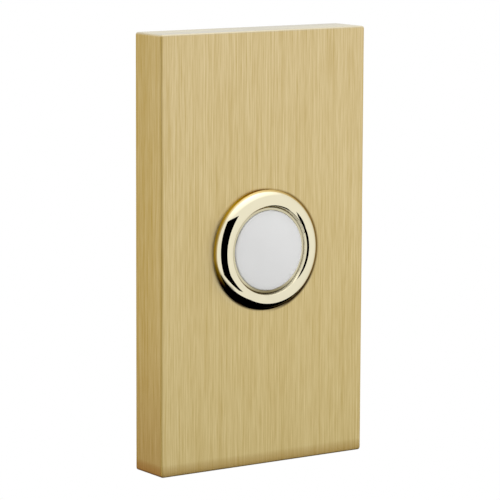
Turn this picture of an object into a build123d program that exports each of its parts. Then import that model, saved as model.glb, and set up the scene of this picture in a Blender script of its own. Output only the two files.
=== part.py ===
from build123d import *
import os
from math import asin, degrees, sqrt

# Lit bell push with a concealed fixing. A hollow brass cover plate hooks over a steel wall
# bracket and is clamped by one set screw from below. A turned brass bezel is held in the
# cover's hole by a ring nut, and carries a push switch whose domed white button is lit from
# behind. All sizes are in millimetres. The origin is on the button's axis in the plane of the
# wall, the front faces -Y and +Z is up. A station is a distance forward from the wall.

# Cover plate
PLATE_WIDTH = 42.5
PLATE_HEIGHT = 76.2
PLATE_DEPTH = 8.0
PLATE_SIDE_WALL = 2.6
PLATE_FRONT_WALL = 2.2
PLATE_CORNER_RADIUS = 0.5
PLATE_EDGE_RADIUS = 0.25
CAVITY_CORNER_RADIUS = 2.0
HOLE_CLEARANCE = 0.2
BOSS_WIDTH = 10.0
BOSS_HEIGHT = 4.0
LEDGE_WIDTH = 18.0
LEDGE_HEIGHT = 1.8
LEDGE_THICKNESS = 1.2

# Set screw with a socket below and a dog point above
SET_SCREW_RADIUS = 2.0
SET_SCREW_RECESS = 0.4
DOG_RADIUS = 1.2
DOG_LENGTH = 1.2
DOG_CLEARANCE = 0.1
SOCKET_FLATS = 2.0
SOCKET_DEPTH = 2.2
THREAD_CLEARANCE = 0.05

# Wall bracket, bent from sheet
SHEET = 1.5
BEND_RADIUS = 0.8
BRACKET_SIDE_GAP = 0.75
BRACKET_CORNER_RADIUS = 3.0
STRIP_TOP_GAP = 0.3
LEDGE_GAP = 0.2
JOGGLE_MARGIN = 0.5
TAB_WIDTH = 12.0
TAB_GAP = 1.9
TAB_FRONT_GAP = 0.6
NUT_GAP = 0.6
WALL_SCREW_RADIUS = 2.25
WALL_SCREW_SPACING = 46.0

# Bezel
MOUTH_RADIUS = 7.15
MOUTH_LENGTH = 3.6
LIP_ROUND = 1.5
SHOULDER_WIDTH = 1.25
BARREL_WALL = 0.7
FLANGE_OVERHANG = 1.45
FLANGE_HEIGHT = 2.1
FLANGE_EDGE = 0.77
THREAD_TAIL = 1.1

# Lock washer and ring nut
WASHER_THICKNESS = 0.8
WASHER_SLOTS = 12
WASHER_SLOT_WIDTH = 1.5
WASHER_SLOT_DEPTH = 1.1
NUT_WALL = 2.0
NUT_THICKNESS = 2.2
NUT_SLOTS = 4
NUT_SLOT_WIDTH = 2.4
NUT_SLOT_DEPTH = 1.0

# Button cap and plunger
TRAVEL = 1.5
BUTTON_CLEARANCE = 0.15
BUTTON_RECESS = 0.6
BUTTON_DOME = 0.5
BUTTON_EDGE_RADIUS = 0.25
CAP_WALL = 1.1
PLUNGER_CLEARANCE = 0.2
PLUNGER_FLANGE = 1.0
STOP_GAP = 0.05
SLEEVE_LENGTH = 1.0
SLEEVE_FIT = 0.05
SLEEVE_WALL = 1.35
SPRING_SEAT = 0.6
SPRING_SEAT_WIDTH = 1.3
HUB_WALL = 0.6

# Contacts
RING_THICKNESS = 0.4
RING_GAP = 0.4
STRIP_THICKNESS = 0.5
STRIP_WIDTH = 3.0
STRIP_BEND_RADIUS = 0.3
STRIP_WALL_GAP = 0.1
STRIP_SLOT_GAP = 0.05
PAD_MARGIN = 0.9
DIMPLE_RADIUS = 0.6
DIMPLE_HEIGHT = 0.28
CONTACT_GAP = 0.02
LUG_WIDTH = 5.0
LUG_MARGIN = 2.4

# Switch housing and terminal base
HOUSING_FIT = 0.05
HOUSING_STEP = 0.25
HOUSING_WALL = 0.65
RIM_CLEARANCE = 0.2
FLOOR_THICKNESS = 1.6
CHAMBER_LENGTH = 8.9
PLUG_LENGTH = 2.0
PLUG_FIT = 0.05
BASE_THICKNESS = 1.5
BASE_SETBACK = 0.3
BORE_WALL = 0.5

# Terminal screws
TERMINAL_SCREW_RADIUS = 1.5
TERMINAL_SCREW_LENGTH = 3.4
TERMINAL_HEAD_RADIUS = 2.6
TERMINAL_HEAD_HEIGHT = 1.8
TERMINAL_HEAD_BEVEL = 0.5
TERMINAL_SLOT_WIDTH = 0.7
TERMINAL_SLOT_DEPTH = 0.9

# Return spring
SPRING_WIRE = 0.5
SPRING_BORE_GAP = 0.15
SPRING_TURNS = 4.5
SPRING_SIDES = 8

# Lamp and its resistor
LAMP_RADIUS = 1.5
LAMP_FLANGE = 0.45
LAMP_FLANGE_THICKNESS = 1.0
LAMP_HOLE_CLEARANCE = 0.05
LAMP_CAP_GAP = 0.5
LEAD_RADIUS = 0.25
LEAD_PITCH = 2.54
LEAD_DROP = 2.4
LEAD_BEND = 0.6
LEAD_TAIL = 0.9
RESISTOR_RADIUS = 0.9
RESISTOR_LENGTH = 3.2
RESISTOR_BEVEL = 0.35

# Radii worked out from the bezel's mouth
bore_radius = MOUTH_RADIUS + SHOULDER_WIDTH
barrel_radius = bore_radius + BARREL_WALL
flange_radius = barrel_radius + FLANGE_OVERHANG
nut_bore = barrel_radius + THREAD_CLEARANCE
nut_radius = nut_bore + NUT_WALL
button_radius = MOUTH_RADIUS - BUTTON_CLEARANCE
cap_bore = button_radius - CAP_WALL
plunger_radius = bore_radius - PLUNGER_CLEARANCE
sleeve_radius = cap_bore - SLEEVE_FIT
plunger_bore = sleeve_radius - SLEEVE_WALL
hub_radius = plunger_bore + HUB_WALL
spring_radius = plunger_bore - SPRING_BORE_GAP - SPRING_WIRE / 2
housing_radius = bore_radius - HOUSING_FIT
pocket_radius = housing_radius - HOUSING_WALL
tail_radius = housing_radius - HOUSING_STEP
chamber_radius = tail_radius - HOUSING_WALL
ring_radius = pocket_radius - RING_GAP
ring_middle = (hub_radius + ring_radius) / 2
base_radius = tail_radius - BASE_SETBACK

# Stations, front to back
crest = PLATE_DEPTH + FLANGE_HEIGHT
button_rim = crest - BUTTON_RECESS
cap_ceiling = button_rim - CAP_WALL
shoulder = crest - MOUTH_LENGTH
plunger_front = shoulder - STOP_GAP
plunger_back = plunger_front - PLUNGER_FLANGE
sleeve_front = plunger_front + SLEEVE_LENGTH
spring_front = sleeve_front - SPRING_SEAT
ring_back = plunger_back - RING_THICKNESS
housing_rim = plunger_back - TRAVEL - RIM_CLEARANCE
pad_front = ring_back - TRAVEL - CONTACT_GAP - DIMPLE_HEIGHT
floor_front = pad_front - STRIP_THICKNESS
floor_back = floor_front - FLOOR_THICKNESS
lamp_front = cap_ceiling - TRAVEL - LAMP_CAP_GAP
lamp_back = floor_back - LAMP_FLANGE_THICKNESS
lead_station = lamp_back - LEAD_DROP
cavity_depth = PLATE_DEPTH - PLATE_FRONT_WALL
nut_front = cavity_depth - WASHER_THICKNESS
nut_back = nut_front - NUT_THICKNESS
bezel_back = nut_back - THREAD_TAIL
housing_back = floor_back - CHAMBER_LENGTH
plug_front = housing_back + PLUG_LENGTH
base_back = housing_back - BASE_THICKNESS
lug_back = base_back - STRIP_THICKNESS

# Heights of the cover's inside and of the bracket that it hangs on
cavity_width = PLATE_WIDTH - 2 * PLATE_SIDE_WALL
cavity_top = PLATE_HEIGHT / 2 - PLATE_SIDE_WALL
boss_top = BOSS_HEIGHT - cavity_top
tab_bottom = boss_top + TAB_GAP
ledge_bottom = cavity_top - LEDGE_HEIGHT
strip_top = cavity_top - STRIP_TOP_GAP
strip_station = LEDGE_THICKNESS + LEDGE_GAP
joggle_top = ledge_bottom - JOGGLE_MARGIN
joggle_bottom = joggle_top - strip_station
set_screw_station = cavity_depth / 2
set_screw_bottom = SET_SCREW_RECESS - PLATE_HEIGHT / 2

# Contact strips, where they stand in the round chamber
strip_outside = sqrt((chamber_radius - STRIP_WALL_GAP) ** 2 - (STRIP_WIDTH / 2) ** 2)
strip_inside = strip_outside - STRIP_THICKNESS
notch_inside = strip_inside - STRIP_BEND_RADIUS - STRIP_SLOT_GAP
terminal_bore = TERMINAL_SCREW_RADIUS + THREAD_CLEARANCE
terminal_x = notch_inside - BORE_WALL - terminal_bore
lug_inside = terminal_x - LUG_MARGIN

# Working planes: radius against station, and station against height
RADIAL = Plane(origin=(0, 0, 0), x_dir=(1, 0, 0), z_dir=(0, 0, -1))
UPRIGHT = Plane(origin=(0, 0, 0), x_dir=(0, -1, 0), z_dir=(-1, 0, 0))


def turned(*edges):
    """Solid of revolution about the button's axis, from edges drawn as (radius, station)."""
    return revolve(RADIAL * make_face(edges), Axis.Y)


def prism(sketch, back, front):
    """Front-view sketch carried from one station forward to another."""
    return extrude(Plane.XZ.offset(back) * sketch, front - back)


def disc(radius, back, front, x=0.0, z=0.0):
    """Round bar along the button's axis, between two stations."""
    return prism(Pos(x, z) * Circle(radius), back, front)


def tube(outer, inner, back, front):
    """Round sleeve about the button's axis, between two stations."""
    return prism(Circle(outer) - Circle(inner), back, front)


def block(x_range, z_range, back, front):
    """Rectangular block given by its sides, its ends and two stations."""
    width = x_range[1] - x_range[0]
    height = z_range[1] - z_range[0]
    centre = Pos((x_range[0] + x_range[1]) / 2, (z_range[0] + z_range[1]) / 2)
    return prism(centre * Rectangle(width, height), back, front)


def upright_bar(radius, bottom, top):
    """Round bar along Z on the set screw's axis."""
    base = Plane(origin=(0, -set_screw_station, bottom), z_dir=(0, 0, 1))
    return extrude(base * Circle(radius), top - bottom)


def around_axis(solid, count):
    """Copies of a solid spaced evenly about the button's axis."""
    return [Rot(0, 360 * turn / count, 0) * solid for turn in range(count)]


def cover_plate():
    """Hollow brass cover with the bezel's hole, the set screw's boss and the hanging ledge."""
    outline = RectangleRounded(PLATE_WIDTH, PLATE_HEIGHT, PLATE_CORNER_RADIUS)
    body = prism(outline, 0, PLATE_DEPTH)
    front_face = body.faces().sort_by(Axis.Y)[0]
    body = fillet(front_face.edges(), PLATE_EDGE_RADIUS)
    opening = RectangleRounded(cavity_width, 2 * cavity_top, CAVITY_CORNER_RADIUS)
    cavity = prism(opening, 0, cavity_depth)
    boss = (-BOSS_WIDTH / 2, BOSS_WIDTH / 2), (-cavity_top, boss_top)
    ledge = (-LEDGE_WIDTH / 2, LEDGE_WIDTH / 2), (ledge_bottom, cavity_top)
    cavity -= block(*boss, 0, cavity_depth)
    cavity -= block(*ledge, 0, LEDGE_THICKNESS)
    body -= cavity
    body -= disc(barrel_radius + HOLE_CLEARANCE, cavity_depth, PLATE_DEPTH)
    body -= upright_bar(SET_SCREW_RADIUS + THREAD_CLEARANCE, -PLATE_HEIGHT / 2, boss_top)
    return body


def set_screw():
    """Dog-point set screw that bears on the bracket's tab from below."""
    body = upright_bar(SET_SCREW_RADIUS, set_screw_bottom, tab_bottom)
    body += upright_bar(DOG_RADIUS, tab_bottom, tab_bottom + DOG_LENGTH)
    socket = RegularPolygon(SOCKET_FLATS / 2, 6, major_radius=False)
    mouth = Plane(origin=(0, -set_screw_station, set_screw_bottom), z_dir=(0, 0, 1))
    return body - extrude(mouth * socket, SOCKET_DEPTH)


def wall_bracket():
    """Sheet bracket: joggled strip behind the cover's ledge, tab above the set screw."""
    half = SHEET / 2
    path = FilletPolyline(
        (cavity_depth - TAB_FRONT_GAP, tab_bottom + half),
        (half, tab_bottom + half),
        (half, joggle_bottom),
        (strip_station + half, joggle_top),
        (strip_station + half, strip_top),
        radius=BEND_RADIUS + half,
    )
    width = cavity_width - 2 * BRACKET_SIDE_GAP
    sheet = extrude(UPRIGHT * trace(path, SHEET), width / 2, both=True)
    plate_bottom = tab_bottom + SHEET + BEND_RADIUS
    plate_height = joggle_bottom - plate_bottom
    blank = Pos(0, (plate_bottom + joggle_bottom) / 2) * RectangleRounded(
        width, plate_height, BRACKET_CORNER_RADIUS
    )
    blank += Pos(0, strip_top / 2) * Rectangle(LEDGE_WIDTH, strip_top)
    blank += Pos(0, tab_bottom / 2) * Rectangle(TAB_WIDTH, -tab_bottom)
    body = sheet & prism(blank, 0, cavity_depth)
    body -= disc(nut_radius + NUT_GAP, 0, SHEET)
    for end in (-1, 1):
        body -= disc(WALL_SCREW_RADIUS, 0, SHEET, z=end * WALL_SCREW_SPACING / 2)
    body -= upright_bar(DOG_RADIUS + DOG_CLEARANCE, tab_bottom, tab_bottom + SHEET)
    return body


def bezel():
    """Turned brass ferrule: domed flange, rounded lip, mouth, shoulder and threaded barrel."""
    lip_radius = MOUTH_RADIUS + LIP_ROUND
    span = flange_radius - lip_radius
    rise = FLANGE_HEIGHT - FLANGE_EDGE
    dome_radius = (span**2 + rise**2) / (2 * rise)
    half_angle = degrees(asin(span / dome_radius))
    return turned(
        Line((MOUTH_RADIUS, shoulder), (MOUTH_RADIUS, crest - LIP_ROUND)),
        CenterArc((lip_radius, crest - LIP_ROUND), LIP_ROUND, 90, 90),
        CenterArc((lip_radius, crest - dome_radius), dome_radius, 90 - half_angle, half_angle),
        Polyline(
            (flange_radius, PLATE_DEPTH + FLANGE_EDGE),
            (flange_radius, PLATE_DEPTH),
            (barrel_radius, PLATE_DEPTH),
            (barrel_radius, bezel_back),
            (bore_radius, bezel_back),
            (bore_radius, shoulder),
            (MOUTH_RADIUS, shoulder),
        ),
    )


def lock_washer():
    """Internal-tooth washer under the ring nut."""
    body = tube(nut_radius, barrel_radius + HOLE_CLEARANCE, nut_front, cavity_depth)
    reach = barrel_radius + HOLE_CLEARANCE + WASHER_SLOT_DEPTH
    half = WASHER_SLOT_WIDTH / 2
    slot = block((0, reach), (-half, half), nut_front, cavity_depth)
    return body - around_axis(slot, WASHER_SLOTS)


def ring_nut():
    """Round nut with spanner slots that draws the bezel's flange onto the cover."""
    body = tube(nut_radius, nut_bore, nut_back, nut_front)
    slot = block(
        (nut_radius - NUT_SLOT_DEPTH, nut_radius + NUT_SLOT_DEPTH),
        (-NUT_SLOT_WIDTH / 2, NUT_SLOT_WIDTH / 2),
        nut_back,
        nut_front,
    )
    return body - around_axis(slot, NUT_SLOTS)


def button_cap():
    """Translucent cap with a shallow dome and a rounded rim."""
    face_radius = button_radius - BUTTON_EDGE_RADIUS
    edge_station = button_rim - BUTTON_EDGE_RADIUS
    dome_radius = (face_radius**2 + BUTTON_DOME**2) / (2 * BUTTON_DOME)
    half_angle = degrees(asin(face_radius / dome_radius))
    dome_centre = button_rim + BUTTON_DOME - dome_radius
    return turned(
        CenterArc((0, dome_centre), dome_radius, 90 - half_angle, half_angle),
        CenterArc((face_radius, edge_station), BUTTON_EDGE_RADIUS, 0, 90),
        Polyline(
            (button_radius, edge_station),
            (button_radius, plunger_front),
            (cap_bore, plunger_front),
            (cap_bore, cap_ceiling),
            (0, cap_ceiling),
            (0, button_rim + BUTTON_DOME),
        ),
    )


def plunger():
    """Moulded carrier of the cap: stop flange, sleeve, spring seat and contact hub."""
    seat_radius = plunger_bore - SPRING_SEAT_WIDTH
    return turned(
        Polyline(
            (plunger_bore, ring_back),
            (hub_radius, ring_back),
            (hub_radius, plunger_back),
            (plunger_radius, plunger_back),
            (plunger_radius, plunger_front),
            (sleeve_radius, plunger_front),
            (sleeve_radius, sleeve_front),
            (seat_radius, sleeve_front),
            (seat_radius, spring_front),
            (plunger_bore, spring_front),
            close=True,
        )
    )


def contact_ring():
    """Bridging contact on the plunger's hub."""
    return tube(ring_radius, hub_radius, ring_back, plunger_back)


def return_spring():
    """Compression spring, its wire drawn with flats, ground between the floor and the plunger."""
    length = spring_front - floor_front
    pitch = length / SPRING_TURNS
    path = Helix(pitch, length, spring_radius, (0, -floor_front, 0), (0, -1, 0))
    wire_section = RegularPolygon(SPRING_WIRE / 2, SPRING_SIDES, major_radius=False)
    section = Plane(origin=path @ 0, z_dir=path % 0) * wire_section
    coil = sweep(section, path, is_frenet=True)
    return coil & disc(plunger_bore, floor_front, spring_front)


def switch_housing():
    """Moulded barrel with a floor for the contacts and a chamber for the lamp's wiring."""
    body = disc(housing_radius, bezel_back, housing_rim)
    body += disc(tail_radius, housing_back, bezel_back)
    body -= disc(pocket_radius, floor_front, housing_rim)
    body -= disc(chamber_radius, housing_back, floor_back)
    body -= disc(LAMP_RADIUS + LAMP_HOLE_CLEARANCE, floor_back, floor_front)
    half = STRIP_WIDTH / 2 + STRIP_SLOT_GAP
    outside = strip_outside + STRIP_SLOT_GAP
    for x_range in ((notch_inside, outside), (-outside, -notch_inside)):
        body -= block(x_range, (-half, half), floor_back, floor_front)
    return body


def terminal_base():
    """Plug that closes the housing, notched for the strips and bored for their screws."""
    body = disc(chamber_radius - PLUG_FIT, housing_back, plug_front)
    body += disc(base_radius, base_back, housing_back)
    half = STRIP_WIDTH / 2 + STRIP_SLOT_GAP
    for side in (-1, 1):
        x_range = sorted((side * notch_inside, side * tail_radius))
        body -= block(x_range, (-half, half), base_back, plug_front)
        body -= disc(terminal_bore, base_back, plug_front, x=side * terminal_x)
    return body


def contact_strip(side):
    """Bent brass strip: dimpled pad on the floor, leg in the chamber, drilled lug behind."""
    half = STRIP_THICKNESS / 2
    path = FilletPolyline(
        (ring_middle - PAD_MARGIN, floor_front + half),
        (strip_outside - half, floor_front + half),
        (strip_outside - half, base_back - half),
        (strip_inside - STRIP_THICKNESS, base_back - half),
        radius=STRIP_BEND_RADIUS + half,
    )
    body = extrude(RADIAL * trace(path, STRIP_THICKNESS), STRIP_WIDTH / 2, both=True)
    body += disc(DIMPLE_RADIUS, pad_front, pad_front + DIMPLE_HEIGHT, x=ring_middle)
    lug = (lug_inside, strip_inside - STRIP_BEND_RADIUS), (-LUG_WIDTH / 2, LUG_WIDTH / 2)
    body += block(*lug, lug_back, base_back)
    body -= disc(terminal_bore, lug_back, base_back, x=terminal_x)
    return body if side > 0 else mirror(body, Plane.YZ)


def terminal_screws():
    """Pair of slotted screws with bevelled heads that clamp the bell wires."""
    head_back = lug_back - TERMINAL_HEAD_HEIGHT
    head = disc(TERMINAL_HEAD_RADIUS, head_back, lug_back)
    head = chamfer(head.edges().sort_by(Axis.Y)[-1], TERMINAL_HEAD_BEVEL)
    reach = TERMINAL_HEAD_RADIUS
    half = TERMINAL_SLOT_WIDTH / 2
    head -= block((-reach, reach), (-half, half), head_back, head_back + TERMINAL_SLOT_DEPTH)
    screw = head + disc(TERMINAL_SCREW_RADIUS, lug_back, lug_back + TERMINAL_SCREW_LENGTH)
    return Compound(children=[Pos(side * terminal_x, 0, 0) * screw for side in (-1, 1)])


def lamp():
    """Round-topped indicator lamp, flanged behind the housing's floor."""
    flange = LAMP_RADIUS + LAMP_FLANGE
    return turned(
        CenterArc((0, lamp_front - LAMP_RADIUS), LAMP_RADIUS, 0, 90),
        Polyline(
            (LAMP_RADIUS, lamp_front - LAMP_RADIUS),
            (LAMP_RADIUS, floor_back),
            (flange, floor_back),
            (flange, lamp_back),
            (0, lamp_back),
            (0, lamp_front),
        ),
    )


def wire(*points):
    """Stiff round wire bent along points given as (x, station)."""
    path = RADIAL * FilletPolyline(*points, radius=LEAD_BEND)
    section = Plane(origin=path @ 0, z_dir=path % 0) * Circle(LEAD_RADIUS)
    return sweep(section, path)


def lamp_leads():
    """The lamp's two leads: one to the left strip, one to the resistor."""
    x = LEAD_PITCH / 2
    left = wire((-x, lamp_back), (-x, lead_station), (-strip_inside, lead_station))
    right = wire((x, lamp_back), (x, lead_station), (x + LEAD_TAIL, lead_station))
    return Compound(children=[left, right])


def resistor():
    """Axial resistor between the lamp's right lead and the right strip."""
    start = LEAD_PITCH / 2 + LEAD_TAIL
    middle = (start + strip_inside) / 2
    lead = Plane(origin=(start, -lead_station, 0), z_dir=(1, 0, 0)) * Circle(LEAD_RADIUS)
    barrel = Plane(origin=(middle - RESISTOR_LENGTH / 2, -lead_station, 0), z_dir=(1, 0, 0))
    body = extrude(barrel * Circle(RESISTOR_RADIUS), RESISTOR_LENGTH)
    body = chamfer(body.edges().filter_by(GeomType.CIRCLE), RESISTOR_BEVEL)
    return body + extrude(lead, strip_inside - start)


PIECES = {
    "cover_plate": cover_plate(),
    "set_screw": set_screw(),
    "wall_bracket": wall_bracket(),
    "bezel": bezel(),
    "lock_washer": lock_washer(),
    "ring_nut": ring_nut(),
    "button_cap": button_cap(),
    "plunger": plunger(),
    "contact_ring": contact_ring(),
    "return_spring": return_spring(),
    "switch_housing": switch_housing(),
    "terminal_base": terminal_base(),
    "contact_strip_left": contact_strip(-1),
    "contact_strip_right": contact_strip(1),
    "terminal_screws": terminal_screws(),
    "lamp": lamp(),
    "lamp_leads": lamp_leads(),
    "resistor": resistor(),
}

os.makedirs("parts", exist_ok=True)
for name, piece in PIECES.items():
    export_step(piece, f"parts/{name}.step")
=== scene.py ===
from math import asin, cos, degrees, pi, radians, sin

import bpy
from mathutils import Matrix, Vector


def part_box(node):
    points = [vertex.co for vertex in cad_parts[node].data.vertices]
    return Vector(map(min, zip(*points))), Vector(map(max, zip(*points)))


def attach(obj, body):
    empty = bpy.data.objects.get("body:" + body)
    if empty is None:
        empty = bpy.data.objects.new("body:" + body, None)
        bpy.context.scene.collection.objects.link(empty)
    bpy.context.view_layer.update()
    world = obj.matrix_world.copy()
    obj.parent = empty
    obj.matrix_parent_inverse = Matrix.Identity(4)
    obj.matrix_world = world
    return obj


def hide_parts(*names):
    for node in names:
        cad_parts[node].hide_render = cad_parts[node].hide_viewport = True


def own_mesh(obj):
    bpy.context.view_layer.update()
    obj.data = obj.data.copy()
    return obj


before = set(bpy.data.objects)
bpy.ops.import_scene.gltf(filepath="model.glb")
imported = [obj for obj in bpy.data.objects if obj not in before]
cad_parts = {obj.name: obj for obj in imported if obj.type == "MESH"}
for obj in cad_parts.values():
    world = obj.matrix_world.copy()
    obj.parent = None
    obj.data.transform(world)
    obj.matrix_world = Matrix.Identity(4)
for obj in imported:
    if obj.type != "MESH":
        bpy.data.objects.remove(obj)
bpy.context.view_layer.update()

# Lit bell push: a brushed brass cover plate, a polished bezel and a white button. Lengths are in
# metres. A station is a distance forward from the wall, so it is -Y, and +Z is up.

MM = 0.001

# Camera, as the photograph was taken
SENSOR_WIDTH = 36.0
FOCAL_LENGTH = 206.34
CAMERA_PLACE = Vector((-0.28047, -0.41349, 0.07375))
CAMERA_YAW = radians(34.385)
CAMERA_PITCH = radians(8.522)
CAMERA_ROLL = radians(0.247)

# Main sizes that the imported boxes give
plate_low, plate_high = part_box("cover_plate")
bezel_low, bezel_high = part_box("bezel")
cap_low, cap_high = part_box("button_cap")
spring_low, spring_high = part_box("return_spring")
plate_front = -plate_low.y
plate_bottom = plate_low.z
plate_top = plate_high.z
plate_side = plate_high.x
crest = -bezel_low.y
bezel_back = -bezel_high.y
flange_radius = bezel_high.x
button_radius = cap_high.x
button_top = -cap_low.y
cap_back = -cap_high.y
spring_back = -spring_high.y
spring_front = -spring_low.y

# Bezel, with its two tilts in degrees from the crest
MOUTH_RADIUS = 7.06 * MM
BORE_RADIUS = 8.4 * MM
BARREL_RADIUS = 9.1 * MM
MOUTH_LENGTH = 3.6 * MM
FLANGE_EDGE = 0.77 * MM
LIP_WIDTH = 1.59 * MM
LIP_TILT = 23
LIP_EDGE = 0.2 * MM
COUNTERSINK_TILT = 60
STEP_DEPTH = 0.78 * MM
STEP_WIDTH = 0.4 * MM
THREAD_PITCH = 0.75 * MM
THREAD_DEPTH = 0.3 * MM
THREAD_TURNS = 5

# Button cap
BUTTON_DOME = 0.4 * MM
BUTTON_EDGE = 0.25 * MM
CAP_WALL = 1.1 * MM

# Return spring
SPRING_WIRE = 0.5 * MM
SPRING_TURNS = 4.5
SPRING_STEPS = 216
WIRE_SIDES = 20

# Fineness of what is spun
ROUND_STEPS = 160
ARC_STEPS = 28
SMOOTH_ANGLE = radians(20)
MERGE_DISTANCE = 0.0005 * MM

# Grain of every finish
GRAIN_DETAIL = 2.0
GRAIN_ROUGHNESS = 0.55

# Brush marks on the cover plate: their sizes along X, Y and Z and how strongly they show, then
# painted light towards the front and left of the ring and painted shade on the flanks
BRUSH_SHORT = (0.11 * MM, 0.11 * MM, 5 * MM)
BRUSH_MIDDLING = (0.13 * MM, 0.13 * MM, 18 * MM)
BRUSH_LONG = (0.2 * MM, 0.2 * MM, 80 * MM)
BRUSH_CLOUD = (12 * MM, 12 * MM, 25 * MM)
SHORT_SHARE = 0.4
MIDDLING_SHARE = 0.35
LONG_SHARE = 0.25
BRUSH_CONTRAST = 2.4
BRUSH_LEVEL = 0.73
CLOUD_CONTRAST = 0.1
# Painted light towards the front and left of the ring, painted shade on the flanks
FRONT_PAINTED_LIGHT = 0.2
FLANK_PAINTED_SHADE = 0.31
HALO_PAINTED_LIGHT = 0.6
BRUSH_ROUGHNESS = 0.32
BRUSH_ROUGHNESS_SPREAD = 0.16
BRUSH_RELIEF = 0.004
EASE_RELIEF = 0.3

# Bands of painted light and shade on the cover plate: at its edges, beside the ring and as a
# painted shadow in the seam round the ring
LOWER_EASE = 2.2 * MM
WARM_SHARE = 0.6
EDGE_BAND = 0.4 * MM
CORNER_DEPTH = 0.6 * MM
CORNER_WIDTH = 0.5 * MM
CORNER_SHARE = 0.6
HALO = 1.1 * MM
SEAM_SHADOW = 0.4 * MM
RIGHT_SHADOW_MIDDLE = (0.68 * MM, -0.25 * MM)
FOOT_SHADOW_MIDDLE = (0.05 * MM, 0.05 * MM)
seam_shadow_rim = (flange_radius, flange_radius + SEAM_SHADOW)
halo_sides = (-0.9 * flange_radius, -0.3 * flange_radius)
right_sides = (0, 0.5 * flange_radius)
foot_shade_heights = (-0.55 * flange_radius, -0.1 * flange_radius)

# Bands of painted shade on the bezel: the fade above its foot, how far the painted dark foot climbs
# the dome, the share of the mouth's radius below which the valley round the button darkens as
# painted shadow, and a faint cloud
FOOT_FADE = (0.25 * MM, -0.1 * MM)
FOOT_REACH = 1.0 * MM
VALLEY_SHARE = 0.75
RING_CLOUD = 3 * MM
RING_CLOUD_SHARE = 0.1

# Colours of the cover plate: brass paler higher up as painted light, painted reflections on the top
# face, lower edge and left front corner, and painted shadow in the seam round the ring
BRASS_DARK = (0.455, 0.3, 0.05)
BRASS_LOW_PAINTED_SHADE = (0.8, 0.655, 0.325)
BRASS_HIGH_PAINTED_LIGHT = (0.81, 0.665, 0.385)
TOP_FACE_PAINTED_REFLECTION = (0.6, 0.56, 0.44)
WARM_EDGE_PAINTED_REFLECTION = (0.6, 0.35, 0.06)
CORNER_PAINTED_REFLECTION = (0.36, 0.24, 0.035)
SEAM_SHADOW_BROWN = (0.2, 0.115, 0.02)
SEAM_SHADOW_DARK = (0.02, 0.008, 0.001)
SEAM_SHADOW_FOOT = (0.01, 0.005, 0.001)

# Colours of the bezel, the first at a grazing look; then the foot as painted shade below and a
# painted reflection of the plate above, and the valley as a painted shadow low down and a painted
# reflection of the button
RING_GRAZING = (0.25, 0.15, 0.04, 1.0)
RING_BRASS = (0.84, 0.785, 0.585)
RING_FOOT_PAINTED_SHADE = (0.004, 0.002, 0.0)
RING_FOOT_PAINTED_REFLECTION = (0.52, 0.38, 0.065)
VALLEY_PAINTED_SHADOW = (0.2, 0.165, 0.075)
VALLEY_PAINTED_REFLECTION = (0.6, 0.55, 0.38)

# Translucent white of the button cap
CAP_DARK = (0.69, 0.69, 0.685)
CAP_LIGHT = (0.72, 0.72, 0.715)
CAP_GLOW = 1.5 * MM
CAP_GRAIN = 0.12 * MM
CAP_CLOUD = 4 * MM
CAP_ROUGHNESS = 0.33
CAP_ROUGHNESS_SPREAD = 0.1
CAP_RELIEF = 0.003 * MM

# Plain metals and mouldings: how much broader their second grain is, the share of the fine one,
# the spread of their roughness and the depth of their relief
METAL_BROAD = 9
METAL_FINE_SHARE = 0.45
METAL_ROUGHNESS_SPREAD = 0.2
METAL_RELIEF = 0.01 * MM
MOULDING_BROAD = 14
MOULDING_FINE_SHARE = 0.4
MOULDING_ROUGHNESS_SPREAD = 0.16
MOULDING_RELIEF = 0.02 * MM

# Each slot's name, dark and light colour, roughness and size of its grain
METALS = {
    "turned_brass": ("turned brass", (0.56, 0.42, 0.18), (0.74, 0.58, 0.28), 0.3, 0.2 * MM),
    "contact_brass": ("stamped brass", (0.58, 0.43, 0.19), (0.78, 0.6, 0.3), 0.34, 0.3 * MM),
    "screw_brass": ("screw brass", (0.58, 0.44, 0.2), (0.78, 0.62, 0.32), 0.28, 0.15 * MM),
    "zinc_steel": ("zinc plate", (0.46, 0.48, 0.5), (0.64, 0.65, 0.66), 0.38, 0.5 * MM),
    "black_steel": (
        "black oxide steel", (0.035, 0.035, 0.04), (0.07, 0.07, 0.075), 0.42, 0.2 * MM
    ),
    "spring_steel": (
        "drawn spring wire", (0.42, 0.42, 0.43), (0.58, 0.58, 0.59), 0.26, 0.1 * MM
    ),
    "tinned_wire": ("tinned wire", (0.55, 0.55, 0.56), (0.7, 0.7, 0.71), 0.3, 0.1 * MM),
}
MOULDINGS = {
    "natural_nylon": ("natural nylon", (0.68, 0.65, 0.56), (0.76, 0.73, 0.64), 0.45, 0.15 * MM),
    "black_moulding": (
        "black moulding", (0.022, 0.022, 0.024), (0.038, 0.038, 0.04), 0.5, 0.15 * MM
    ),
    "brown_phenolic": (
        "brown phenolic", (0.085, 0.038, 0.02), (0.16, 0.075, 0.042), 0.4, 0.2 * MM
    ),
    "lamp_resin": ("lamp resin", (0.82, 0.79, 0.66), (0.88, 0.85, 0.74), 0.2, 0.4 * MM),
    "resistor_lacquer": (
        "resistor lacquer", (0.5, 0.37, 0.24), (0.6, 0.47, 0.32), 0.4, 0.2 * MM
    ),
}

# Stage: the floor, the air, the cards at the camera's side, one just before another, and colours
FLOOR_DROP = 0.5
FLOOR_SIDE = 30.0
FLOOR_GREY = (0.9, 0.9, 0.9, 1.0)
AMBIENT = 0.6
CARD_AZIMUTH = -30
CARD_DISTANCE = 0.6
JUST_BEFORE = 0.99
WHITE = (1.0, 1.0, 1.0, 1.0)
BLACK = (0.0, 0.0, 0.0, 1.0)
PALE = (1.6, 1.6, 1.6, 1.0)
BROWN = (0.35, 0.16, 0.06, 1.0)


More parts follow.
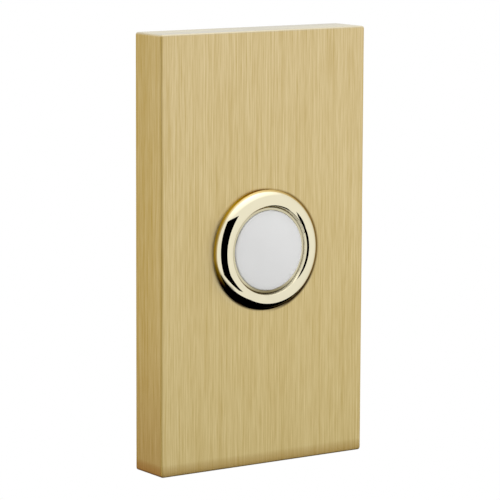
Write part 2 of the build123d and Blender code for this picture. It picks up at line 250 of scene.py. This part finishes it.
class Field:
    """A shader socket in one node tree, so that sums of sockets read as Python expressions."""

    def __init__(self, tree, socket=None):
        self.tree = tree
        self.socket = socket

    def node(self, kind, settings, inputs, output=0):
        """Any node: its type, its settings, then the values or links of its sockets."""
        made = self.tree.nodes.new(kind)
        for name, value in settings.items():
            setattr(made, name, value)
        for name, value in inputs.items():
            if isinstance(value, Field):
                self.tree.links.new(value.socket, made.inputs[name])
            else:
                made.inputs[name].default_value = value
        return Field(self.tree, made.outputs[output])

    def maths(self, operation, *values):
        return self.node("ShaderNodeMath", {"operation": operation}, dict(enumerate(values)))

    def __add__(self, other):
        return self.maths("ADD", self, other)

    def __sub__(self, other):
        return self.maths("SUBTRACT", self, other)

    def __rsub__(self, other):
        return self.maths("SUBTRACT", other, self)

    def __mul__(self, other):
        return self.maths("MULTIPLY", self, other)

    __radd__ = __add__
    __rmul__ = __mul__


class Finish:
    """A material in the making: its Principled shader and the patterns that feed it."""

    def __init__(self, name, **constants):
        self.material = bpy.data.materials.new(name)
        self.material.use_nodes = True
        self.field = Field(self.material.node_tree)
        self.shader = self.material.node_tree.nodes["Principled BSDF"]
        for socket, value in constants.items():
            self.shader.inputs[socket.replace("_", " ")].default_value = value
        self.place = self.field.node("ShaderNodeTexCoord", {}, {}, "Object")

    def feed(self, socket, field):
        self.field.tree.links.new(field.socket, self.shader.inputs[socket])

    def grain(self, size):
        """Noise whose features have the given size along X, Y and Z."""
        stretch = tuple(1 / length for length in size)
        spread = self.field.node("ShaderNodeMapping", {}, {"Vector": self.place, "Scale": stretch})
        inputs = {
            "Vector": spread,
            "Scale": 1.0,
            "Detail": GRAIN_DETAIL,
            "Roughness": GRAIN_ROUGHNESS,
        }
        return self.field.node("ShaderNodeTexNoise", {"noise_dimensions": "3D"}, inputs)

    def even_grain(self, size):
        """Noise whose features have one size in all directions."""
        return self.grain((size, size, size))

    def tint(self, dark, light, share):
        """Colour between two, each plain or a field, by a share from 0 to 1."""
        inputs = {0: share}
        for socket, colour in ((6, dark), (7, light)):
            inputs[socket] = colour if isinstance(colour, Field) else (*colour, 1.0)
        settings = {"data_type": "RGBA", "clamp_factor": True}
        return self.field.node("ShaderNodeMix", settings, inputs, 2)

    def relief(self, height, depth):
        """Small bumps of the given depth from a height between 0 and 1."""
        bump = {"Height": height, "Distance": depth}
        self.feed("Normal", self.field.node("ShaderNodeBump", {}, bump))

    def along(self, axis):
        """The place along X, Y or Z."""
        return self.field.node("ShaderNodeSeparateXYZ", {}, {"Vector": self.place}, axis)

    def from_axis(self, middle=(0, 0)):
        """The distance from an axis parallel to the button's, through a middle in X and Z."""
        across = self.along("X") - middle[0]
        up = self.along("Z") - middle[1]
        return across.maths("SQRT", across * across + up * up)

    def rise(self, field, low, high):
        """0 where a field is low, 1 where it is high, straight between."""
        inputs = {"Value": field, "From Min": low, "From Max": high}
        return self.field.node("ShaderNodeMapRange", {"clamp": True}, inputs)

    def blend(self, share, other):
        """Lays another shader over this one, by a share from 0 to 1."""
        tree = self.field.tree
        inputs = {0: share, 1: Field(tree, self.shader.outputs[0]), 2: other}
        mixed = self.field.node("ShaderNodeMixShader", {}, inputs)
        tree.links.new(mixed.socket, tree.nodes["Material Output"].inputs["Surface"])


def satin_brass():
    """Brass brushed along its height, its lower edge eased by the belt, with painted light, shade
    and reflections in its colour.
    """
    finish = Finish("brushed satin brass", Metallic=1.0, Anisotropic=0.6)
    short = finish.grain(BRUSH_SHORT)
    middling = finish.grain(BRUSH_MIDDLING)
    long = finish.grain(BRUSH_LONG)
    streaks = short * SHORT_SHARE + middling * MIDDLING_SHARE + long * LONG_SHARE
    ease = 1 - finish.rise(finish.along("Z"), plate_bottom, plate_bottom + LOWER_EASE)
    brass = edge_tones(finish, brushed_tone(finish, streaks), ease)
    finish.feed("Base Color", seam_shadow_tones(finish, brass))
    finish.feed("Roughness", streaks * BRUSH_ROUGHNESS_SPREAD + BRUSH_ROUGHNESS)
    finish.relief(streaks * BRUSH_RELIEF - ease * ease * EASE_RELIEF, MM)
    return finish.material


def brushed_tone(finish, streaks):
    """Brush marks, with painted light towards the front, left of the ring and higher up, and
    painted shade on the flanks.
    """
    cloud = finish.grain(BRUSH_CLOUD)
    depth = finish.rise(finish.along("Y"), 0, -plate_front)
    across = finish.along("X")
    flank = finish.rise(across.maths("ABSOLUTE", across), plate_side - EDGE_BAND, plate_side)
    left = 1 - finish.rise(across, *halo_sides)
    painted_halo = left * (1 - finish.rise(finish.from_axis(), flange_radius, flange_radius + HALO))
    # Painted light towards the front and left of the ring, painted shade on the flanks
    share = (
        streaks * BRUSH_CONTRAST
        + cloud * CLOUD_CONTRAST
        + depth * FRONT_PAINTED_LIGHT
        - flank * FLANK_PAINTED_SHADE
        - BRUSH_LEVEL
        + painted_halo * HALO_PAINTED_LIGHT
    )
    # Painted light: the brass is paler higher up
    height = finish.rise(finish.along("Z"), plate_bottom, plate_top)
    light = finish.tint(BRASS_LOW_PAINTED_SHADE, BRASS_HIGH_PAINTED_LIGHT, height)
    return finish.tint(BRASS_DARK, light, share)


def edge_tones(finish, brass, ease):
    """Painted reflections: a pale top face, a warm lower edge and a darker line down the left front
    corner.
    """
    top = finish.rise(finish.along("Z"), plate_top - EDGE_BAND, plate_top)
    brass = finish.tint(brass, TOP_FACE_PAINTED_REFLECTION, top)
    brass = finish.tint(brass, WARM_EDGE_PAINTED_REFLECTION, ease * WARM_SHARE)
    front = finish.rise(finish.along("Y"), -plate_front + CORNER_DEPTH, -plate_front)
    corner = 1 - finish.rise(finish.along("X"), -plate_side, -plate_side + CORNER_WIDTH)
    return finish.tint(brass, CORNER_PAINTED_REFLECTION, front * corner * CORNER_SHARE)


def seam_shadow_tones(finish, brass):
    """Painted shadow in the seam between the plate and the ring, brown at the right and black
    below.
    """
    low = 1 - finish.rise(finish.along("Z"), *foot_shade_heights)
    right = finish.rise(finish.along("X"), *right_sides)
    line = right * (1 - finish.rise(finish.from_axis(RIGHT_SHADOW_MIDDLE), *seam_shadow_rim))
    foot = low * (1 - finish.rise(finish.from_axis(FOOT_SHADOW_MIDDLE), *seam_shadow_rim))
    brass = finish.tint(brass, finish.tint(SEAM_SHADOW_BROWN, SEAM_SHADOW_DARK, low), line)
    return finish.tint(brass, SEAM_SHADOW_FOOT, foot)


def polished_brass():
    """Brass buffed to a mirror, with painted shade and reflections: its foot dark below and brown
    above, olive beside the button and darker low there.
    """
    finish = Finish("polished brass", Metallic=1.0, Roughness=0.0, Specular_Tint=RING_GRAZING)
    distance = finish.from_axis()
    height = finish.along("Z")
    edge = plate_front + FLANGE_EDGE
    ridge = MOUTH_RADIUS + LIP_WIDTH
    step = MOUTH_RADIUS + STEP_WIDTH
    # Painted shade at the foot: dark below, brown above as a painted reflection of the plate
    up = finish.rise(height, *foot_shade_heights)
    outer = finish.rise(distance, ridge, ridge + STEP_WIDTH)
    hidden = finish.along("Y") + (1 - up) * outer * FOOT_REACH
    unshaded = finish.rise(hidden, -edge + FOOT_FADE[0], -edge + FOOT_FADE[1])
    cloud = finish.even_grain(RING_CLOUD)
    share = unshaded * (cloud * RING_CLOUD_SHARE + (1 - RING_CLOUD_SHARE))
    foot = finish.tint(RING_FOOT_PAINTED_SHADE, RING_FOOT_PAINTED_REFLECTION, up)
    brass = finish.tint(foot, RING_BRASS, share)
    # Painted reflection of the button in the valley, olive, with painted shadow low down
    raised = finish.rise(height, -step, -VALLEY_SHARE * MOUTH_RADIUS)
    valley = finish.tint(VALLEY_PAINTED_SHADOW, VALLEY_PAINTED_REFLECTION, raised)
    lip = finish.rise(distance, step, step + STEP_WIDTH)
    finish.feed("Base Color", finish.tint(valley, brass, lip))
    return finish.material


def plain_metal(name, dark, light, rough, size):
    """Metal whose colour and gloss wander a little."""
    finish = Finish(name, Metallic=1.0)
    fine = finish.even_grain(size)
    broad = finish.even_grain(METAL_BROAD * size)
    mottle = fine * METAL_FINE_SHARE + broad * (1 - METAL_FINE_SHARE)
    finish.feed("Base Color", finish.tint(dark, light, mottle))
    least = rough - METAL_ROUGHNESS_SPREAD / 2
    finish.feed("Roughness", mottle * METAL_ROUGHNESS_SPREAD + least)
    finish.relief(fine, METAL_RELIEF)
    return finish.material


def moulding(name, dark, light, rough, size):
    """Moulded plastic with a fine grain."""
    finish = Finish(name)
    fine = finish.even_grain(size)
    broad = finish.even_grain(MOULDING_BROAD * size)
    mottle = fine * MOULDING_FINE_SHARE + broad * (1 - MOULDING_FINE_SHARE)
    finish.feed("Base Color", finish.tint(dark, light, mottle))
    least = rough - MOULDING_ROUGHNESS_SPREAD / 2
    finish.feed("Roughness", fine * MOULDING_ROUGHNESS_SPREAD + least)
    finish.relief(fine, MOULDING_RELIEF)
    return finish.material


def white_cap():
    """Translucent white plastic with a satin face."""
    finish = Finish(
        "translucent white cap",
        Subsurface_Weight=1.0,
        Subsurface_Radius=(1.0, 1.0, 1.0),
        Subsurface_Scale=CAP_GLOW,
    )
    fine = finish.even_grain(CAP_GRAIN)
    cloud = finish.even_grain(CAP_CLOUD)
    finish.feed("Base Color", finish.tint(CAP_DARK, CAP_LIGHT, cloud))
    finish.feed("Roughness", fine * CAP_ROUGHNESS_SPREAD + CAP_ROUGHNESS)
    finish.relief(fine, CAP_RELIEF)
    return finish.material


FINISHES = {
    "satin_brass": satin_brass(),
    "polished_brass": polished_brass(),
    "white_cap": white_cap(),
}
for slot, look in METALS.items():
    FINISHES[slot] = plain_metal(*look)
for slot, look in MOULDINGS.items():
    FINISHES[slot] = moulding(*look)


def arc(centre, radius, start, end):
    """Points of an arc in (radius, station), its angles in degrees from the radial direction."""
    turns = [radians(start + (end - start) * step / ARC_STEPS) for step in range(ARC_STEPS + 1)]
    return [(centre[0] + radius * cos(turn), centre[1] + radius * sin(turn)) for turn in turns]


def turned(name, profile):
    """Piece turned on a lathe: a profile drawn point by point and spun round the button's axis."""
    bpy.ops.object.select_all(action="DESELECT")
    radius, station = profile[0]
    bpy.ops.mesh.primitive_plane_add(size=MM, location=(radius, -station, 0))
    piece = bpy.context.object
    piece.name = name
    piece.data.name = name
    bpy.ops.object.transform_apply(location=True, rotation=True, scale=True)
    bpy.ops.object.mode_set(mode="EDIT")
    bpy.ops.mesh.select_all(action="SELECT")
    bpy.ops.mesh.merge(type="CENTER")
    for start, end in zip(profile, profile[1:]):
        step = (end[0] - start[0], start[1] - end[1], 0)
        bpy.ops.mesh.extrude_vertices_move(TRANSFORM_OT_translate={"value": step})
    bpy.ops.mesh.select_all(action="SELECT")
    bpy.ops.mesh.spin(steps=ROUND_STEPS, angle=2 * pi, center=(0, 0, 0), axis=(0, 1, 0))
    clean_shell()
    bpy.ops.object.mode_set(mode="OBJECT")
    bpy.ops.object.shade_smooth_by_angle(angle=SMOOTH_ANGLE)
    return piece


def clean_shell():
    """Merges doubled points of the mesh being edited and turns its faces outwards."""
    bpy.ops.mesh.select_all(action="SELECT")
    bpy.ops.mesh.remove_doubles(threshold=MERGE_DISTANCE)
    bpy.ops.mesh.normals_make_consistent(inside=False)


def settle(piece, body, node, slot):
    """Gives a finished piece its body, the node that it stands for and its finish."""
    piece.data.materials.clear()
    piece.data.materials.append(FINISHES[slot])
    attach(piece, body)
    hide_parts(node)


def polished_bezel():
    """Bezel with a domed flange, a countersunk lip, a step round the button and a threaded barrel.

    The dome runs inwards over the crest as far as the lip's tilt, where a small round leads into
    the countersink.
    """
    lip_radius = MOUTH_RADIUS + LIP_WIDTH
    span = flange_radius - lip_radius
    rise = crest - plate_front - FLANGE_EDGE
    dome_radius = (span**2 + rise**2) / (2 * rise)
    half_angle = degrees(asin(span / dome_radius))
    shoulder = crest - MOUTH_LENGTH
    tilt = radians(LIP_TILT)
    reach = dome_radius - LIP_EDGE
    edge_middle = (lip_radius - reach * sin(tilt), crest - dome_radius + reach * cos(tilt))
    thread = []
    for turn in range(THREAD_TURNS):
        root = bezel_back + (THREAD_TURNS - turn) * THREAD_PITCH
        thread.append((BARREL_RADIUS, root))
        thread.append((BARREL_RADIUS - THREAD_DEPTH, root - THREAD_PITCH / 2))
    profile = [
        (MOUTH_RADIUS, shoulder),
        (MOUTH_RADIUS, crest - STEP_DEPTH),
        (MOUTH_RADIUS + STEP_WIDTH, crest - STEP_DEPTH),
        *arc(edge_middle, LIP_EDGE, 90 + COUNTERSINK_TILT, 90 + LIP_TILT),
        *arc((lip_radius, crest - dome_radius), dome_radius, 90 + LIP_TILT, 90 - half_angle),
        (flange_radius, plate_front),
        (BARREL_RADIUS, plate_front),
        *thread,
        (BARREL_RADIUS, bezel_back),
        (BORE_RADIUS, bezel_back),
        (BORE_RADIUS, shoulder),
        (MOUTH_RADIUS, shoulder),
    ]
    settle(turned("polished_bezel", profile), "bell_push", "bezel", "polished_brass")


def white_button():
    """Button cap with a shallow dome, a soft rim and a hollow back."""
    rim = button_top - BUTTON_DOME
    face_radius = button_radius - BUTTON_EDGE
    dome_radius = (face_radius**2 + BUTTON_DOME**2) / (2 * BUTTON_DOME)
    half_angle = degrees(asin(face_radius / dome_radius))
    ceiling = rim - CAP_WALL
    bore = button_radius - CAP_WALL
    profile = [
        *arc((0, button_top - dome_radius), dome_radius, 90, 90 - half_angle),
        *arc((face_radius, rim - BUTTON_EDGE), BUTTON_EDGE, 90, 0)[1:],
        (button_radius, cap_back),
        (bore, cap_back),
        (bore, ceiling),
        (0, ceiling),
    ]
    settle(turned("white_button", profile), "button", "button_cap", "white_cap")


def coil_spring():
    """Round-wire compression spring, ground flat at both ends."""
    radius = spring_high.x - SPRING_WIRE / 2
    length = spring_front - spring_back
    bpy.ops.object.select_all(action="DESELECT")
    bpy.ops.mesh.primitive_circle_add(
        vertices=WIRE_SIDES,
        radius=SPRING_WIRE / 2,
        location=(radius, -spring_back, 0),
        fill_type="NGON",
    )
    coil = bpy.context.object
    coil.name = "coil_spring"
    coil.data.name = "coil_spring"
    bpy.ops.object.transform_apply(location=True, rotation=True, scale=True)
    winding = coil.modifiers.new("winding", "SCREW")
    winding.axis = "Y"
    winding.angle = 2 * pi * SPRING_TURNS
    winding.screw_offset = -length
    winding.steps = SPRING_STEPS
    winding.render_steps = SPRING_STEPS
    bpy.ops.object.modifier_apply(modifier=winding.name)
    bpy.ops.object.mode_set(mode="EDIT")
    clean_shell()
    for station, outward in ((spring_back, 1), (spring_front, -1)):
        bpy.ops.mesh.select_all(action="SELECT")
        bpy.ops.mesh.bisect(
            plane_co=(0, -station, 0), plane_no=(0, outward, 0), use_fill=True, clear_outer=True
        )
    bpy.ops.object.mode_set(mode="OBJECT")
    bpy.ops.object.shade_smooth_by_angle(angle=SMOOTH_ANGLE)
    settle(coil, "bell_push", "return_spring", "spring_steel")
    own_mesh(coil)


polished_bezel()
white_button()
coil_spring()
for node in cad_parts.values():
    for place in node.material_slots:
        place.material = FINISHES[place.material.name]


def backdrop_rays(field):
    """1 for rays that should meet a white background, 0 for the rest."""
    camera = field.node("ShaderNodeLightPath", {}, {}, "Is Camera Ray")
    glossy = field.node("ShaderNodeLightPath", {}, {}, "Is Glossy Ray")
    through = field.node("ShaderNodeLightPath", {}, {}, "Is Transmission Ray")
    seen = camera.maths("MAXIMUM", camera, glossy)
    return seen.maths("MAXIMUM", seen, through)


def studio_air():
    """White surroundings, a little dimmer as a light than as a background."""
    world = bpy.data.worlds.new("studio air")
    world.use_nodes = True
    bpy.context.scene.world = world
    air = Field(world.node_tree)
    background = world.node_tree.nodes["Background"]
    background.inputs["Color"].default_value = WHITE
    strength = backdrop_rays(air) * (1 - AMBIENT) + AMBIENT
    world.node_tree.links.new(strength.socket, background.inputs["Strength"])


def pale_floor():
    """Wide white floor, well below the object."""
    bpy.ops.object.select_all(action="DESELECT")
    bpy.ops.mesh.primitive_plane_add(size=FLOOR_SIDE, location=(0, 0, -FLOOR_DROP))
    floor = bpy.context.object
    floor.name = "pale_floor"
    finish = Finish("pale floor", Base_Color=FLOOR_GREY, Roughness=0.9)
    glow = finish.field.node("ShaderNodeEmission", {}, {"Color": WHITE})
    finish.blend(backdrop_rays(finish.field), glow)
    floor.data.materials.append(finish.material)


def direction(azimuth, elevation):
    """Unit vector from the object, with azimuth 0 straight out of its front and + to its right."""
    azimuth = radians(azimuth)
    elevation = radians(elevation)
    return Vector((sin(azimuth) * cos(elevation), -cos(azimuth) * cos(elevation), sin(elevation)))


def glow_panel(name, place, width, height, extra):
    """Level white panel, brighter than the air in its middle and fading into it."""
    bpy.ops.object.select_all(action="DESELECT")
    bpy.ops.mesh.primitive_plane_add(size=2.0, location=place)
    panel = bpy.context.object
    panel.name = name
    panel.scale = (width / 2, height / 2, 1.0)
    finish = Finish(name, Base_Color=BLACK, Specular_IOR_Level=0.0, Emission_Strength=1.0)
    round_fade = {"gradient_type": "SPHERICAL"}
    fade = finish.field.node("ShaderNodeTexGradient", round_fade, {"Vector": finish.place})
    bright = 1.0 + extra
    finish.feed("Emission Color", finish.tint(WHITE[:3], (bright, bright, bright), fade))
    panel.data.materials.append(finish.material)
    panel.visible_camera = False
    panel.visible_shadow = False


def soft_box(name, azimuth, elevation, distance, width, height, radiance):
    """Rectangular lamp aimed at the button, which no finish mirrors."""
    place = direction(azimuth, elevation) * distance
    lamp = bpy.data.lights.new(name, "AREA")
    lamp.shape = "RECTANGLE"
    lamp.size = width
    lamp.size_y = height
    lamp.energy = radiance * pi * width * height
    holder = bpy.data.objects.new(name, lamp)
    holder.location = place
    holder.rotation_euler = (-place).to_track_quat("-Z", "Y").to_euler()
    holder.visible_glossy = False
    bpy.context.scene.collection.objects.link(holder)


def studio_card(name, place, turn, low, high, cuts, colour, mirror, satin):
    """Card that only metal shows: by one share in a mirror finish, by another in a satin one.

    It runs from its low corner to its high one, less what lies beyond each cut, which is a point
    and an outward direction.
    """
    bpy.ops.object.select_all(action="DESELECT")
    bpy.ops.mesh.primitive_plane_add(size=1.0)
    card = bpy.context.object
    card.name = name
    bpy.ops.object.mode_set(mode="EDIT")
    bpy.ops.mesh.select_all(action="SELECT")
    bpy.ops.transform.resize(value=(high[0] - low[0], high[1] - low[1], 1.0))
    bpy.ops.transform.translate(value=((low[0] + high[0]) / 2, (low[1] + high[1]) / 2, 0.0))
    for point, outward in cuts:
        bpy.ops.mesh.select_all(action="SELECT")
        bpy.ops.mesh.bisect(plane_co=(*point, 0.0), plane_no=(*outward, 0.0), clear_outer=True)
    bpy.ops.object.mode_set(mode="OBJECT")
    card.location = place
    card.rotation_euler = turn
    finish = Finish(
        name,
        Base_Color=BLACK,
        Specular_IOR_Level=0.0,
        Emission_Color=colour,
        Emission_Strength=1.0,
    )
    mirrored = finish.field.node("ShaderNodeLightPath", {}, {}, "Is Singular Ray")
    clear = finish.field.node("ShaderNodeBsdfTransparent", {}, {})
    finish.blend(1 - (mirrored * (mirror - satin) + satin), clear)
    card.data.materials.append(finish.material)
    card.visible_camera = False
    card.visible_diffuse = False
    card.visible_shadow = False
    card.visible_transmission = False


def ring_cards():
    """Black cards that give the ring its dark bands and the arcs inside its lip."""
    camera_side = direction(CARD_AZIMUTH, 0) * CARD_DISTANCE
    upright = (pi / 2, 0, radians(CARD_AZIMUTH))
    upper_cut = ((0.0, 0.456), (0.48, 1.0))
    studio_card(
        "black card behind the camera",
        camera_side,
        upright,
        low=(-0.42, -0.468),
        high=(0.36, 0.72),
        cuts=(upper_cut, ((-0.3, 0.0), (-1.0, -0.167)), ((0.335, 0.0), (1.0, 0.21))),
        colour=BLACK,
        mirror=1.0,
        satin=0.35,
    )
    studio_card(
        "narrow black card",
        camera_side * JUST_BEFORE,
        upright,
        low=(0.2, -0.468),
        high=(0.7, 0.72),
        cuts=(upper_cut, ((0.46, 0.0), (1.0, 0.21))),
        colour=BLACK,
        mirror=1.0,
        satin=0.0,
    )
    studio_card(
        "black card beside it",
        camera_side,
        upright,
        low=(0.24, -0.474),
        high=(0.9, -0.216),
        cuts=(((0.57, -0.474), (0.19, -0.55)), ((0.3, -0.222), (0.2, 1.0))),
        colour=BLACK,
        mirror=1.0,
        satin=0.35,
    )
    studio_card(
        "black table",
        (0.351, -0.486, -0.3),
        (0, 0, radians(-32)),
        low=(-0.87, 0.0),
        high=(0.0, 1.02),
        cuts=(((-0.19, 0.131), (0.974, -0.225)),),
        colour=BLACK,
        mirror=1.0,
        satin=0.8,
    )


def plate_cards():
    """Level cards that tone the satin plate: dark low down, pale high up, brown low at the left."""
    for name, height, low, high, colour, satin in (
        ("dark card near the foot", -0.12, (-0.05, -0.35), (0.4, -0.05), BLACK, 0.25),
        ("pale card near the head", 0.12, (-0.05, -0.35), (0.4, -0.05), PALE, 0.5),
        ("brown card at the left", -0.1, (-0.25, 0.0), (-0.02, 0.3), BROWN, 0.7),
    ):
        place = (0.0, 0.0, height)
        studio_card(name, place, (0, 0, 0), low, high, (), colour, mirror=0.0, satin=satin)


def photo_camera():
    """Camera at the photograph's place, with its lens."""
    data = bpy.data.cameras.new("photo camera")
    data.sensor_width = SENSOR_WIDTH
    data.lens = FOCAL_LENGTH
    camera = bpy.data.objects.new("photo camera", data)
    bpy.context.scene.collection.objects.link(camera)
    turn = (
        Matrix.Rotation(-CAMERA_YAW, 4, "Z")
        @ Matrix.Rotation(pi / 2 - CAMERA_PITCH, 4, "X")
        @ Matrix.Rotation(CAMERA_ROLL, 4, "Z")
    )
    camera.matrix_world = Matrix.Translation(CAMERA_PLACE) @ turn
    bpy.context.scene.camera = camera


bpy.context.scene.view_settings.view_transform = "Standard"
studio_air()
pale_floor()
soft_box("key box", azimuth=55, elevation=45, distance=1.5, width=1.4, height=0.9, radiance=4.0)
glow_panel("top panel", place=(0.1, -0.1, 1.0), width=2.4, height=2.4, extra=0.85)
ring_cards()
plate_cards()
photo_camera()
